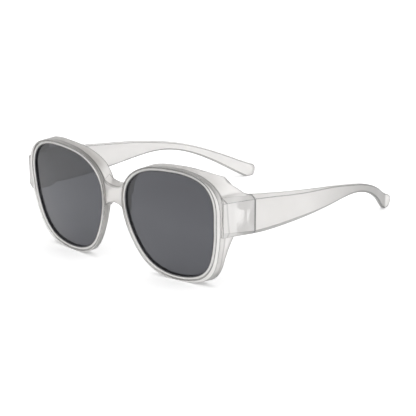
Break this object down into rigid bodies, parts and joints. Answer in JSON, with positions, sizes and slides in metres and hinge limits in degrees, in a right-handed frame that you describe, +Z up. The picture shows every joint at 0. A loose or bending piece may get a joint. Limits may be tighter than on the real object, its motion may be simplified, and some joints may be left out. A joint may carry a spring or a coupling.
{
  "type": "fitover sunglasses",
  "caption": "Fitover sunglasses to wear over prescription glasses: frosted grey wrap frame, side shields, dark tinted lenses and folding temples.",
  "frame": {"origin": "bottom centre of the bounding box with both temples open, on the surface the glasses stand on", "axes": "+X to the wearer's left, +Y back along the temples, +Z up"},
  "size_m": [0.1444, 0.1786, 0.0603],
  "materials": {
    "frame": "frosted translucent pale grey, matte",
    "temple": "frosted translucent pale grey, matte",
    "lens": "dark grey tint, smooth and see-through",
    "screw": "plain steel",
    "bush": "knurled steel"
  },
  "bodies": {
    "front": {"front_frame": "frame", "lens_left": "lens", "lens_right": "lens", "hinge_screw_left": "screw", "hinge_screw_right": "screw"},
    "temple_l": {"temple_left": "temple", "hinge_bush_lower_left": "bush", "hinge_bush_upper_left": "bush"},
    "temple_r": {"temple_right": "temple", "hinge_bush_lower_right": "bush", "hinge_bush_upper_right": "bush"}
  },
  "joints": [
    {"name": "temple_left_fold", "type": "hinge", "parent": "front", "child": "temple_l", "pos_m": [0.0675, -0.06689, 0.037], "axis": [0, 0, 1], "range_deg": [0, 87]},
    {"name": "temple_right_fold", "type": "hinge", "parent": "front", "child": "temple_r", "pos_m": [-0.0675, -0.06689, 0.037], "axis": [0, 0, -1], "range_deg": [0, 78]}
  ]
}
